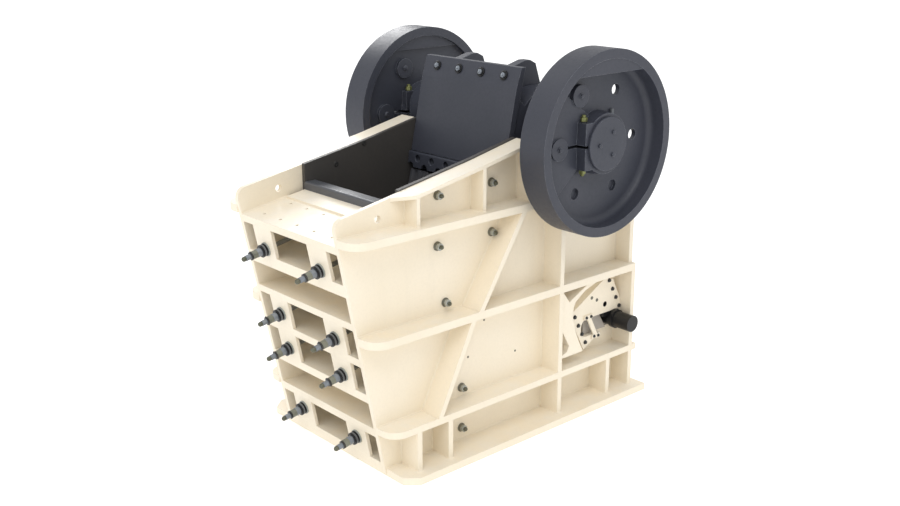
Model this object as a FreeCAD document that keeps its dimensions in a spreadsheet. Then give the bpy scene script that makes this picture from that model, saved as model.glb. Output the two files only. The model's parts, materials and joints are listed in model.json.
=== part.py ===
import FreeCAD, Part
import Sketcher
import math
import os

# Jaw crusher, single toggle, with a welded plate frame.
# Millimetres. X runs along the eccentric shaft, -Y is the leaning front with the tension bolts,
# +Y is the toggle end, +Z is up. The origin is the middle of the floor box. Symmetric about X = 0.

doc = FreeCAD.newDocument("JawCrusher")
sheet = doc.addObject("Spreadsheet::Sheet", "Sizes")


# ------------------------------------------------------------------ sizes

class Size:
    """A value that also knows the expression that binds it to the sheet."""

    def __init__(self, value, text):
        self.value = float(value)
        self.text = text

    def __add__(self, other):
        other = as_size(other)
        return Size(self.value + other.value, f"({self.text} + {other.text})")

    def __radd__(self, other):
        return as_size(other) + self

    def __sub__(self, other):
        other = as_size(other)
        return Size(self.value - other.value, f"({self.text} - {other.text})")

    def __rsub__(self, other):
        return as_size(other) - self

    def __mul__(self, other):
        other = as_size(other)
        return Size(self.value * other.value, f"({self.text} * {other.text})")

    def __rmul__(self, other):
        return as_size(other) * self

    def __truediv__(self, other):
        other = as_size(other)
        return Size(self.value / other.value, f"({self.text} / {other.text})")

    def __neg__(self):
        return Size(-self.value, f"(0 - {self.text})")


def as_size(number):
    """A plain number as a size, so that both can stand in one sum."""
    if isinstance(number, Size):
        return number
    return Size(number, f"({number:.6f})")


def lean_angle(slope, start=0):
    """A starting angle plus the angle whose tangent is this slope, in degrees."""
    return Size(start + math.degrees(math.atan(slope.value)), f"{start} deg + atan({slope.text})")


def cosine(slope):
    """The cosine of the angle whose tangent is this slope."""
    return Size(math.cos(math.atan(slope.value)), f"cos(atan({slope.text}))")


def sine(slope):
    """The sine of the angle whose tangent is this slope."""
    return Size(math.sin(math.atan(slope.value)), f"sin(atan({slope.text}))")


SIZES = {
    # side plates
    "side_in": 668,
    "side_plate": 45,
    "front_y": -1191,
    "front_lean": 0.2,
    "rear_y": 1756,
    "rear_top_z": 1850,
    "crest_rise": 502,
    "crest_slope": 0.1815,
    "crest_knee_y": -210,
    "crest_rear_slope": 0.215,
    "ear_round": 90,
    "lift_hole_y": -1225,
    "lift_hole_drop": 126.7,
    "lift_hole_r": 32,
    # base
    "base_reach": 317,
    "base_plate": 66,
    "base_rear_reach": 43,
    "base_corner_x": 94,
    "base_corner_y": 112,
    # ribs on the side plates
    "rib_reach": 217,
    "rib_round": 150,
    "lower_rib_z": 412,
    "lower_rib_plate": 60,
    "middle_rib_z": 1234,
    "middle_rib_plate": 70,
    "upper_rib_z": 2077,
    "upper_rib_plate": 67,
    "upper_rib_rear": 1200,
    "upright": 50,
    "upright_main": 652,
    "upright_rear_inset": 106,
    "upright_low_a": -1027,
    "upright_low_b": -686,
    "upright_low_c": 1326,
    "tail_upright_reach": 173,
    "tail_upright_drop": 20,
    "brace": 55,
    "brace_high_top_y": 210,
    "brace_high_foot_y": -280,
    "brace_low_top_y": -370,
    "brace_low_foot_y": -740,
    # top flange and the short uprights under it
    "flange_reach": 159,
    "flange_plate": 30,
    "flange_front_y": -1100,
    "top_upright": 35,
    "upright_top_a": -958,
    "upright_top_b": -245,
    "upright_top_c": 296,
    # front wall
    "deck_plate": 67,
    "deck_z": 2070,
    "deck_slope": 0.16,
    "deck_pad": 18,
    "deck_pad_front": -1170,
    "deck_pad_rear": -985,
    "deck_hole_r": 13,
    "deck_hole_deep": 40,
    "deck_hole_step": 240,
    "deck_row_front": -1496,
    "deck_row_rear": -1230,
    "shelf_deep": 500,
    "wall_plate": 80,
    "column_in": 259,
    "column_out": 524,
    "column_plate": 30,
    "sill_z": 114,
    "shelf_f_low": 363,
    "shelf_f_top": 443,
    "shelf_e_low": 685,
    "shelf_e_top": 766,
    "shelf_d_low": 1020,
    "shelf_d_top": 1092,
    "shelf_c_low": 1348,
    "shelf_c_top": 1414,
    "shelf_b_low": 1640,
    "shelf_b_top": 1747,
    # tension bolts
    "bolt_x": 390,
    "bolt_z_a": 1810,
    "bolt_z_b": 1205,
    "bolt_z_c": 870,
    "bolt_z_d": 266,
    "bolt_washer_r": 58,
    "bolt_washer": 12,
    "bolt_spring_r": 55,
    "bolt_spring": 52,
    "bolt_sleeve_r": 36,
    "bolt_sleeve": 75,
    "bolt_collar_r": 41,
    "bolt_collar": 16,
    "bolt_stud_r": 25,
    "bolt_stud": 91.5,
    "rod_r": 20,
    # chamber
    "die_plate": 100,
    "die_tooth": 35,
    "die_side_gap": 9,
    "tooth_rise": 0.2,
    "tooth_gap": 0.15,
    "fixed_die_low": 180,
    "fixed_die_top": 2150,
    "top_bar_deep": 113,
    "top_bar_high": 96,
    "top_bar_round": 20,
    "top_bar_side_gap": 4,
    "cheek_plate": 40,
    "cheek_split_z": 1640,
    "cheek_split_gap": 4,
    "cheek_low_z": 120,
    "cheek_front_y": -975,
    "cheek_proud": 10,
    "cheek_jaw_gap": 60,
    "cheek_rear_low": 500,
    "cheek_seat_gap": 17,
    "swing_die_low": 230,
    "swing_die_top": 2165,
    "swing_seat_y": -292,
    "swing_lean": 0.285,
    # shaft and bearing housings
    "shaft_y": 794,
    "shaft_z": 2634,
    "shaft_r": 150,
    "shaft_end_r": 125,
    "shaft_shoulder": 40,
    "running_gap": 0.05,
    "housing_r": 330,
    "housing_wide": 250,
    "housing_sink": 30,
    "housing_foot": 110,
    "housing_top": 300,
    "housing_round": 220,
    # flywheels
    "wheel_r": 800,
    "wheel_gap": 128,
    "wheel_wide": 275,
    "wheel_rim": 82,
    "web_face": 109,
    "web_plate": 45,
    "web_taper": 15,
    "rim_root": 60,
    "inner_root_share": 0.8,
    "hub_r": 260,
    "hub_face": 234,
    "hub_block_reach": 262,
    "hub_block_inner": 150,
    "hub_block_half": 200,
    "cap_r": 233,
    "cap_wide": 27,
    "cap_edge": 6,
    "wheel_ring": 485,
    "wheel_hole_r": 50,
    "recess_floor": 15,
    "weight_r": 95,
    "weight_back": 34,
    "weight_face": 154,
    "fill_low": 595,
    "fill_back": 29,
    "fill_face": 268,
    "sector_low_r": 238,
    "sector_high_r": 740,
    "sector_face": 137,
    "hub_split": 24,
    "hub_split_end": 380,
    # swing jaw
    "head_r": 400,
    "head_back": 240,
    "head_drop": 320,
    "jaw_side_gap": 28,
    "jaw_bottom": 200,
    "lug_x": 340,
    "lug_wide": 90,
    "lug_front_y": 540,
    "lug_front_z": 3210,
    "lug_peak_y": 715,
    "lug_peak_z": 3255,
    "lug_flat": 60,
    "lug_rear_y": 845,
    "lug_rear_z": 3220,
    "lug_heel_y": 905,
    "lug_heel_z": 3050,
    "lug_foot_z": 2950,
    "guard_side_gap": 10,
    "guard_plate": 50,
    "guard_low": 2370,
    "guard_top": 3240,
    "guard_y": 435,
    "guard_lean": 0.235,
    "guard_bend_z": 3060,
    "guard_bend": 18,
    "clamp_low": 2222,
    "clamp_proud": 45,
    "clamp_lip": 30,
    "clamp_round": 14,
    "clamp_gap": 4,
    "clamp_hole_r": 33,
    "clamp_hole_deep": 40,
    "clamp_hole_z": 2310,
    "clamp_end_share": 0.35,
    "clamp_scallop": 44,
    "clamp_scallop_deep": 60,
    # toggle
    "toggle_y": 1362,
    "toggle_z": 853,
    "toggle_slope": 0.543,
    "toggle_gap": 20,
    "toggle_plate": 80,
    "toggle_side_gap": 128,
    "toggle_long": 880,
    "neck_back": 130,
    "neck_drop": 1300,
    "guard_shelf": 120,
    "guard_inset": 20,
    "guard_room": 300,
    "head_front_drop": 260,
    "pocket_deep": 60,
    "pocket_low": 150,
    "pocket_high": 170,
    "beam_deep": 420,
    "beam_high": 430,
    "beam_ahead": 190,
    # setting covers on the sides
    "cover_y": 1317,
    "cover_z": 874,
    "cover_half_long": 320,
    "cover_half_high": 222,
    "cover_corner": 85,
    "cover_plate": 87,
    "cover_hole_y": 1429,
    "cover_hole_z": 917,
    "cover_hole_r": 27,
    "cover_hole_deep": 60,
    "window_front": 1095,
    "window_rear": 1649,
    "window_low": 651,
    "window_high": 831,
    "window_front_round": 80,
    "window_rear_round": 45,
    "strap_top_y": 1185,
    "strap_top_z": 848,
    "strap_foot_y": 1299,
    "strap_foot_z": 632,
    "strap_half": 27,
    "strap_plate": 15,
    "strap_end_half": 58,
    "strap_end_high": 20,
    "wedge_end_reach": 39,
    "wedge_rear_low": 1500,
    "wedge_rear_high": 1394,
    "wedge_gap": 6,
    "cylinder_y": 1567,
    "cylinder_z": 744,
    "cylinder_r": 80,
    "cylinder_reach": 320,
    "collar_r": 92,
    "collar_wide": 45,
    "clevis_inset": 10,
    "clevis_high": 45,
    "curved_web_reach": 187,
    # rear cross plates
    "tie_plate": 60,
    "tie_low_deep": 300,
    "tie_high_low": 1380,
    "tie_high_top": 1800,
    "tie_rear_gap": 30,
}

S = {}
for row, (alias, number) in enumerate(SIZES.items(), start=1):
    sheet.set(f"A{row}", alias)
    sheet.set(f"B{row}", str(number))
    sheet.setAlias(f"B{row}", alias)
    S[alias] = Size(number, f"Sizes.{alias}")
doc.recompute()


# ------------------------------------------------------------------ ways of making a piece

NODES = []
PLANES = {"YZ": "YZ_Plane", "XY": "XY_Plane", "XZ": "XZ_Plane"}


def bind(item, values):
    """Bind properties of an object to sizes."""
    for name, size in values.items():
        item.setExpression(name, as_size(size).text)


def place(item, x=0, y=0, z=0):
    """Bind an object's place to sizes."""
    for axis, size in (("x", x), ("y", y), ("z", z)):
        size = as_size(size)
        setattr(item.Placement.Base, axis, size.value)
        item.setExpression(f"Placement.Base.{axis}", size.text)


def node(item, label):
    """Give an object the name of its file."""
    item.Label = label
    NODES.append(item)
    return item


def draw(sketch, outline, holes):
    """Draw a closed outline and round holes, with every point held by the sheet."""
    count = len(outline)
    points = [FreeCAD.Vector(u.value, v.value, 0) for u, v in outline]
    for i in range(count):
        sketch.addGeometry(Part.LineSegment(points[i], points[(i + 1) % count]), False)
    for i in range(count):
        sketch.addConstraint(Sketcher.Constraint("Coincident", i, 2, (i + 1) % count, 1))
    for i, (u, v) in enumerate(outline):
        hold(sketch, i, 1, u, v)
    for u, v, r in holes:
        centre = FreeCAD.Vector(u.value, v.value, 0)
        g = sketch.addGeometry(Part.Circle(centre, FreeCAD.Vector(0, 0, 1), r.value), False)
        hold(sketch, g, 3, u, v)
        c = sketch.addConstraint(Sketcher.Constraint("Radius", g, r.value))
        sketch.setExpression(f"Constraints[{c}]", r.text)


def hold(sketch, g, end, u, v):
    """Fix a sketch point at a distance from the origin along both axes."""
    for kind, size in (("DistanceX", u), ("DistanceY", v)):
        c = sketch.addConstraint(Sketcher.Constraint(kind, -1, 1, g, end, size.value))
        sketch.setExpression(f"Constraints[{c}]", size.text)


def plane_of(body, role):
    """The body's own origin plane or axis with this role."""
    for feature in body.Origin.OriginFeatures:
        if feature.Role == role:
            return feature
    raise RuntimeError(f"no {role} in {body.Name}")


def slab(name, plane, outline, start, thick, holes=(), rounds=()):
    """A plate: an outline in a plane, pushed out along that plane's normal from start.

    rounds lists corners of the outline as (point number, radius)."""
    body = doc.addObject("PartDesign::Body", name)
    sketch = body.newObject("Sketcher::SketchObject", name + "_outline")
    sketch.AttachmentSupport = [(plane_of(body, PLANES[plane]), "")]
    sketch.MapMode = "FlatFace"
    outline = [(as_size(u), as_size(v)) for u, v in outline]
    holes = [(as_size(u), as_size(v), as_size(r)) for u, v, r in holes]
    draw(sketch, outline, holes)
    pad = body.newObject("PartDesign::Pad", name + "_pad")
    pad.Profile = sketch
    pad.Length = as_size(thick).value
    bind(pad, {"Length": thick})
    start = as_size(start)
    if plane == "YZ":
        place(body, x=start)
    elif plane == "XY":
        place(body, z=start)
    else:
        place(body, y=start)
    doc.recompute()
    if rounds:
        for radius in {r.text: r for _, r in rounds}.values():
            corners = [outline[i] for i, r in rounds if r.text == radius.text]
            base = body.Tip
            names = corner_edges(base.Shape, plane, corners)
            fillet = body.newObject("PartDesign::Fillet", name + "_round")
            fillet.Base = (base, names)
            fillet.Radius = radius.value
            bind(fillet, {"Radius": radius})
            body.Tip = fillet
            doc.recompute()
    return body


def corner_edges(shape, plane, corners):
    """Names of the straight edges that stand on these corners of an outline."""
    names = []
    for i, edge in enumerate(shape.Edges, start=1):
        ends = [flat_point(v.Point, plane) for v in edge.Vertexes]
        if len(ends) != 2:
            continue
        for u, v in corners:
            if all(math.hypot(p[0] - u.value, p[1] - v.value) < 0.01 for p in ends):
                names.append(f"Edge{i}")
    return names


def flat_point(point, plane):
    """A point of a body as it lies in the plane of its sketch."""
    if plane == "YZ":
        return point.y, point.z
    if plane == "XY":
        return point.x, point.y
    return point.x, point.z


def box(name, x, y, z):
    """A block between (low, high) sizes on each axis."""
    item = doc.addObject("Part::Box", name)
    bind(item, {"Length": as_size(x[1]) - x[0], "Width": as_size(y[1]) - y[0],
                "Height": as_size(z[1]) - z[0]})
    place(item, x[0], y[0], z[0])
    return item


def rod(name, x, y, z, radius, length):
    """A round bar along X that starts at x."""
    item = doc.addObject("Part::Cylinder", name)
    item.Placement.Rotation = FreeCAD.Rotation(FreeCAD.Vector(0, 1, 0), 90)
    bind(item, {"Radius": radius, "Height": length})
    place(item, x, y, z)
    return item


def cut(name, base, tools):
    """A piece with tools taken out of it."""
    for i, tool in enumerate(tools):
        item = doc.addObject("Part::Cut", f"{name}_cut{i}")
        item.Base = base
        item.Tool = tool
        base = item
    return base


def join(name, parts):
    """Several shapes fused into one piece."""
    item = doc.addObject("Part::MultiFuse", name)
    item.Shapes = parts
    item.Refine = True
    return item


def group(name, parts):
    """Like pieces that do not touch, kept as one node."""
    item = doc.addObject("Part::Compound", name)
    item.Links = parts
    return item


def mirrored(item, label):
    """The mirror image of a piece, on the -X side."""
    twin = doc.addObject("Part::Mirroring", label + "_mirror")
    twin.Source = item
    twin.Normal = FreeCAD.Vector(1, 0, 0)
    twin.Base = FreeCAD.Vector(0, 0, 0)
    return twin


def pair(item, label):
    """The piece on the +X side and its mirror image, as a node each."""
    node(item, label + "_right")
    node(mirrored(item, label), label + "_left")


def both(item, label):
    """The piece on the +X side and its mirror image, as one node."""
    node(group(label, [item, mirrored(item, label)]), label)


def spin(name, profile, x=0, y=0, z=0):
    """A turned piece: (along X, radius) points turned about the X axis."""
    body = doc.addObject("PartDesign::Body", name)
    sketch = body.newObject("Sketcher::SketchObject", name + "_profile")
    sketch.AttachmentSupport = [(plane_of(body, "XY_Plane"), "")]
    sketch.MapMode = "FlatFace"
    draw(sketch, [(as_size(u), as_size(v)) for u, v in profile], [])
    turn = body.newObject("PartDesign::Revolution", name + "_turn")
    turn.Profile = sketch
    turn.ReferenceAxis = (plane_of(body, "X_Axis"), [""])
    turn.Angle = 360
    place(body, x, y, z)
    return body


def front_at(z, behind=0):
    """Y of the leaning front at a height, or of a plane behind it."""
    return S["front_y"] - S["front_lean"] * z + behind


def crest_at(y):
    """Height of the side plates' sloping top edge, which is steeper behind its knee."""
    knee = S["crest_knee_y"]
    if as_size(y).value <= knee.value:
        return crest_height + S["crest_slope"] * y
    return crest_height + S["crest_slope"] * knee + S["crest_rear_slope"] * (y - knee)


def deck_at(y):
    """Height of the deck's top face."""
    return S["deck_z"] + S["deck_slope"] * (y - front_at(S["deck_z"]))


def drill(name, x, y, z, radius, depth, angle):
    """A round tool in the YZ plane's direction: it starts at a point and runs down its own axis."""
    item = doc.addObject("Part::Cylinder", name)
    bind(item, {"Radius": radius, "Height": depth})
    item.Placement.Rotation = FreeCAD.Rotation(FreeCAD.Vector(1, 0, 0), 1)
    item.setExpression("Placement.Rotation.Angle", angle.text)
    place(item, x, y, z)
    return item


side_out = S["side_in"] + S["side_plate"]
rib_out = side_out + S["rib_reach"]
flange_out = side_out + S["flange_reach"]
upright_rear = S["rear_y"] - S["upright_rear_inset"]
crest_height = S["upper_rib_z"] + S["crest_rise"]
chamber_half = S["side_in"] - S["cheek_plate"]
crest_end_y = S["upright_top_c"] + S["top_upright"]
seat_half = S["shaft_y"] - crest_end_y
seat_rear_y = S["shaft_y"] + seat_half
housing_low = S["shaft_z"] - S["housing_r"]


# ------------------------------------------------------------------ frame: side plates

ear_y = (S["front_y"] - S["front_lean"] * crest_height) / (1 + S["front_lean"] * S["crest_slope"])
side_outline = [
    (S["front_y"], as_size(0)),
    (S["rear_y"], as_size(0)),
    (S["rear_y"], S["rear_top_z"]),
    (seat_rear_y, housing_low),
    (crest_end_y, housing_low),
    (crest_end_y, crest_at(crest_end_y)),
    (S["crest_knee_y"], crest_at(S["crest_knee_y"])),
    (ear_y, crest_at(ear_y)),
]
EAR_CORNER = 7
side = slab("SidePlate", "YZ", side_outline, S["side_in"], S["side_plate"],
            holes=[(S["lift_hole_y"], crest_at(S["lift_hole_y"]) - S["lift_hole_drop"], S["lift_hole_r"])],
            rounds=[(EAR_CORNER, S["ear_round"])])


def window(name, start, thick):
    """The long opening at the setting gear, as a tool that passes through a plate."""
    outline = [(S["window_front"], S["window_low"]), (S["window_rear"], S["window_low"]),
               (S["window_rear"], S["window_high"]), (S["window_front"], S["window_high"])]
    return slab(name, "YZ", outline, start - 1, thick + 2,
                rounds=[(0, S["window_front_round"]), (3, S["window_front_round"]),
                        (1, S["window_rear_round"]), (2, S["window_rear_round"])])


pair(cut("SidePlate", side, [window("SideWindow", S["side_in"], S["side_plate"])]), "side_plate")

# ------------------------------------------------------------------ frame: base flange

base_out = side_out + S["base_reach"]
base_rear_y = S["rear_y"] + S["base_rear_reach"]
base_outline = [
    (side_out, S["front_y"]),
    (base_out - S["base_corner_x"], S["front_y"]),
    (base_out, S["front_y"] + S["base_corner_y"]),
    (base_out, base_rear_y),
    (side_out, base_rear_y),
]
both(slab("BaseFlange", "XY", base_outline, 0, S["base_plate"]), "base_flanges")

# ------------------------------------------------------------------ frame: ribs on the side plates


def level_rib(name, z, thick, rear):
    """A level rib along a side plate, rounded at its front corner."""
    front = front_at(z + thick)
    outline = [(side_out, front), (rib_out, front), (rib_out, rear), (side_out, rear)]
    return slab(name, "XY", outline, z, thick, rounds=[(1, S["rib_round"])])


level_ribs = [
    level_rib("LowerRib", S["lower_rib_z"], S["lower_rib_plate"], S["rear_y"]),
    level_rib("MiddleRib", S["middle_rib_z"], S["middle_rib_plate"], upright_rear + S["upright"]),
    level_rib("UpperRib", S["upper_rib_z"], S["upper_rib_plate"], S["upper_rib_rear"]),
]
both(group("LevelRibs", level_ribs), "level_ribs")

lower_top = S["lower_rib_z"] + S["lower_rib_plate"]
middle_top = S["middle_rib_z"] + S["middle_rib_plate"]
upper_top = S["upper_rib_z"] + S["upper_rib_plate"]


def upright(name, y, low, high, out=rib_out):
    """An upright rib between two level pieces."""
    return box(name, (side_out, out), (y, y + S["upright"]), (low, high))


low_uprights = [upright(f"LowUpright{i}", y, S["base_plate"], S["lower_rib_z"])
                for i, y in enumerate([S["upright_low_a"], S["upright_low_b"], S["upright_main"],
                                       S["upright_low_c"], upright_rear])]
high_uprights = [
    upright("MiddleUpright", S["upright_main"], lower_top, S["middle_rib_z"]),
    upright("RearUpright", upright_rear, lower_top, S["middle_rib_z"]),
    upright("HighUpright", S["upright_main"], middle_top, S["upper_rib_z"]),
    upright("TailUpright", upright_rear, middle_top,
            S["rear_top_z"] - S["tail_upright_drop"], side_out + S["tail_upright_reach"]),
]
both(group("LowUprights", low_uprights), "base_uprights")
both(group("HighUprights", high_uprights), "main_uprights")


def top_upright(name, y):
    """A short upright rib under the sloping top flange."""
    rear = y + S["top_upright"]
    outline = [(y, upper_top), (rear, upper_top), (rear, crest_at(rear) - S["flange_plate"]),
               (y, crest_at(y) - S["flange_plate"])]
    return slab(name, "YZ", outline, side_out, flange_out - side_out)


TOP_UPRIGHTS = [S["upright_top_a"], S["upright_top_b"], S["upright_top_c"]]
both(group("TopUprights", [top_upright(f"TopUpright{i}", y) for i, y in enumerate(TOP_UPRIGHTS)]),
     "top_uprights")


def brace(name, foot_y, foot_z, top_y, top_z):
    """A slanting rib between two level ribs."""
    outline = [(foot_y - S["brace"], foot_z), (foot_y, foot_z), (top_y, top_z),
               (top_y - S["brace"], top_z)]
    return slab(name, "YZ", outline, side_out, rib_out - side_out)


both(group("Braces", [
    brace("BraceHigh", S["brace_high_foot_y"], middle_top, S["brace_high_top_y"], S["upper_rib_z"]),
    brace("BraceLow", S["brace_low_foot_y"], lower_top, S["brace_low_top_y"], S["middle_rib_z"])]),
    "slanting_ribs")

flange_stations = [S["flange_front_y"], S["crest_knee_y"], crest_end_y]
flange_outline = [(y, crest_at(y) - S["flange_plate"]) for y in flange_stations]
flange_outline += [(y, crest_at(y)) for y in reversed(flange_stations)]
flange = slab("TopFlange", "YZ", flange_outline, side_out, flange_out - side_out)
flange_corner = slab("TopFlangeCorner", "XY", [
    (side_out, S["flange_front_y"]),
    (side_out, S["flange_front_y"] - 1),
    (flange_out + 1, S["flange_front_y"] - 1),
    (flange_out + 1, S["upright_top_a"]),
    (flange_out, S["upright_top_a"]),
], S["upper_rib_z"], crest_height - S["upper_rib_z"])
both(cut("TopFlange", flange, [flange_corner]), "top_flanges")

# ------------------------------------------------------------------ frame: front wall


def across(name, outline, half, **more):
    """A plate or block right across the crusher, from -half to +half."""
    return slab(name, "YZ", outline, -half, half * 2, **more)


deck_back = front_at(S["fixed_die_top"], S["shelf_deep"])
deck_outline = [
    (front_at(S["deck_z"] - S["deck_plate"]), S["deck_z"] - S["deck_plate"]),
    (deck_back, deck_at(deck_back) - S["deck_plate"]),
    (deck_back, deck_at(deck_back)),
    (front_at(S["deck_z"]), S["deck_z"]),
]
DECK_ROW = (-2, -1, 0, 1, 2)
straight_down = Size(180, "180 deg")
deck_holes = [drill(f"DeckHole{row}{i}", S["deck_hole_step"] * count, y, deck_at(y) + S["deck_hole_r"],
                    S["deck_hole_r"], S["deck_hole_deep"] + S["deck_hole_r"], straight_down)
              for row, y in enumerate((S["deck_row_front"], S["deck_row_rear"]))
              for i, count in enumerate(DECK_ROW)]
deck = across("DeckPlate", deck_outline, S["side_in"])
node(cut("DeckPlate", deck, deck_holes), "deck_plate")

deck_pad_outline = [
    (S["deck_pad_front"], deck_at(S["deck_pad_front"])),
    (S["deck_pad_rear"], deck_at(S["deck_pad_rear"])),
    (S["deck_pad_rear"], deck_at(S["deck_pad_rear"]) + S["deck_pad"]),
    (S["deck_pad_front"], deck_at(S["deck_pad_front"]) + S["deck_pad"]),
]
node(across("DeckPad", deck_pad_outline, chamber_half), "deck_pad")


def front_block(low, high, deep=S["shelf_deep"]):
    """The side view of a piece between two heights, flush with the leaning front."""
    return [(front_at(low), low), (front_at(low, deep), low), (front_at(high, deep), high),
            (front_at(high), high)]


LEVELS = ["b", "c", "d", "e", "f"]
shelves = [across("Shelf" + k.upper(), front_block(S[f"shelf_{k}_low"], S[f"shelf_{k}_top"]), S["side_in"])
           for k in LEVELS]
shelves.append(across("Sill", front_block(as_size(0), S["sill_z"]), S["side_in"]))
all_shelves = node(group("FrontShelves", shelves), "front_shelves")


def column(name, low, high):
    """A front plate between two shelves that a tension bolt pulls on, on the +X side."""
    return slab(name, "YZ", front_block(low, high, S["column_plate"]), S["column_in"],
                S["column_out"] - S["column_in"])


columns = [
    column("ColumnA", S["shelf_b_top"], S["deck_z"] - S["deck_plate"]),
    column("ColumnB", S["shelf_d_top"], S["shelf_c_low"]),
    column("ColumnC", S["shelf_e_top"], S["shelf_d_low"]),
    column("ColumnD", S["sill_z"], S["shelf_f_low"]),
]
both(group("FrontColumns", columns), "front_columns")

wall_outline = [
    (front_at(0, S["shelf_deep"]), as_size(0)),
    (front_at(0, S["shelf_deep"] + S["wall_plate"]), as_size(0)),
    (front_at(S["deck_z"], S["shelf_deep"] + S["wall_plate"]), S["deck_z"]),
    (front_at(S["deck_z"], S["shelf_deep"]), S["deck_z"]),
]
node(across("FrontWall", wall_outline, S["side_in"]), "front_wall")

# ------------------------------------------------------------------ frame: tension bolts


def tension_bolt(name, x, z):
    """Washer, spring stack, sleeve, collar and stud, square to the leaning front."""
    steps = [(S[f"bolt_{step}_r"], S[f"bolt_{step}"])
             for step in ("washer", "spring", "sleeve", "collar", "stud")]
    parts = []
    reach = as_size(0)
    for i, (radius, length) in enumerate(steps):
        parts.append(drill(f"{name}_{i}", x, front_at(z) - reach * cosine(S["front_lean"]),
                           z - reach * sine(S["front_lean"]), radius, length,
                           lean_angle(S["front_lean"], 90)))
        reach = reach + length
    return join(name, parts)


bolts = [tension_bolt(f"TensionBolt{k.upper()}{i}", S["bolt_x"] * side_sign, S[f"bolt_z_{k}"])
         for k in ("a", "b", "c", "d") for i, side_sign in enumerate((1, -1))]
node(group("TensionBolts", bolts), "tension_bolts")


def tension_rod(name, x, z):
    """The rod of a tension bolt, from the front wall out to the back of the front plate."""
    reach = S["shelf_deep"] * cosine(S["front_lean"])
    return drill(name, x, front_at(z) + reach * cosine(S["front_lean"]), z + reach * sine(S["front_lean"]),
                 S["rod_r"], (S["shelf_deep"] - S["column_plate"]) * cosine(S["front_lean"]),
                 lean_angle(S["front_lean"], 90))


rods = [cut(f"TensionRod{k.upper()}{i}", tension_rod(f"TensionRod{k.upper()}{i}",
                                                     S["bolt_x"] * side_sign, S[f"bolt_z_{k}"]),
            [all_shelves])
        for k in ("a", "b", "c", "d") for i, side_sign in enumerate((1, -1))]
node(group("TensionRods", rods), "tension_rods")

# ------------------------------------------------------------------ feed chamber

die_half = chamber_half - S["die_side_gap"]
DIE_TEETH = 12


def die_outline(face_sign):
    """Plan of a ribbed jaw die: a flat back on y = 0 and a row of tapered teeth."""
    step = die_half * 2 / DIE_TEETH
    root = S["die_plate"] * face_sign
    tip = (S["die_plate"] + S["die_tooth"]) * face_sign
    points = [(-die_half, as_size(0)), (-die_half, root)]
    for i in range(DIE_TEETH):
        left = -die_half + step * i
        right = left + step
        points += [(left + step * S["tooth_gap"], root),
                   (left + step * (S["tooth_gap"] + S["tooth_rise"]), tip),
                   (right - step * (S["tooth_gap"] + S["tooth_rise"]), tip),
                   (right - step * S["tooth_gap"], root)]
    points += [(die_half, root), (die_half, as_size(0))]
    return points


def seated_die(name, face_sign, slope, foot_y, low, high):
    """A ribbed die turned about X so that its flat back lies on the sloping seat."""
    body = slab(name, "XY", die_outline(face_sign), low, (high - low) / cosine(slope))
    body.Placement.Rotation = FreeCAD.Rotation(FreeCAD.Vector(1, 0, 0), 1)
    body.setExpression("Placement.Rotation.Angle", lean_angle(slope).text)
    place(body, 0, foot_y, low)
    return body


fixed_low_y = front_at(S["fixed_die_low"], S["shelf_deep"] + S["wall_plate"])
node(seated_die("FixedDie", 1, S["front_lean"], fixed_low_y, S["fixed_die_low"], S["fixed_die_top"]),
     "fixed_jaw_die")

cheek_front = S["shelf_deep"] + S["wall_plate"]
die_back_top_y = front_at(S["fixed_die_top"], cheek_front)


def die_top_at(y):
    """Height of the fixed die's top end, which is square to its leaning back."""
    return S["fixed_die_top"] + S["front_lean"] * (y - die_back_top_y)


top_bar_rear = S["deck_pad_rear"] + S["top_bar_deep"]
top_bar_outline = [
    (S["deck_pad_rear"], die_top_at(S["deck_pad_rear"])),
    (top_bar_rear, die_top_at(top_bar_rear)),
    (top_bar_rear, die_top_at(S["deck_pad_rear"]) + S["top_bar_high"]),
    (S["deck_pad_rear"], die_top_at(S["deck_pad_rear"]) + S["top_bar_high"]),
]
node(across("TopBar", top_bar_outline, chamber_half - S["top_bar_side_gap"],
            rounds=[(3, S["top_bar_round"])]), "fixed_jaw_top_bar")


def swing_seat_at(z):
    """Y of the swing jaw's die seat at a height."""
    return S["swing_seat_y"] + S["swing_lean"] * z


def cheek_crest(y):
    """Height of the upper cheek plate's top edge."""
    return crest_at(y) + S["cheek_proud"]


cheek_rear_y = crest_end_y - S["cheek_seat_gap"]
upper_low = S["cheek_split_z"] + S["cheek_split_gap"]
cheek_bend_z = (S["front_y"] + cheek_front - S["cheek_front_y"]) / S["front_lean"]
upper_outline = [
    (front_at(upper_low, cheek_front), upper_low),
    (swing_seat_at(upper_low), upper_low),
    (cheek_rear_y, cheek_crest(cheek_rear_y) - S["cheek_rear_low"]),
    (cheek_rear_y, cheek_crest(cheek_rear_y)),
    (S["crest_knee_y"], cheek_crest(S["crest_knee_y"])),
    (S["cheek_front_y"], cheek_crest(S["cheek_front_y"])),
    (S["cheek_front_y"], cheek_bend_z),
]
pair(slab("UpperCheek", "YZ", upper_outline, chamber_half, S["cheek_plate"]), "upper_cheek_plate")
lower_outline = [
    (front_at(S["cheek_low_z"], cheek_front), S["cheek_low_z"]),
    (swing_seat_at(S["cheek_low_z"]) - S["cheek_jaw_gap"], S["cheek_low_z"]),
    (swing_seat_at(S["cheek_split_z"]) - S["cheek_jaw_gap"], S["cheek_split_z"]),
    (front_at(S["cheek_split_z"], cheek_front), S["cheek_split_z"]),
]
pair(slab("LowerCheek", "YZ", lower_outline, chamber_half, S["cheek_plate"]), "lower_cheek_plate")

# ------------------------------------------------------------------ frame: bearing housings

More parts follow.
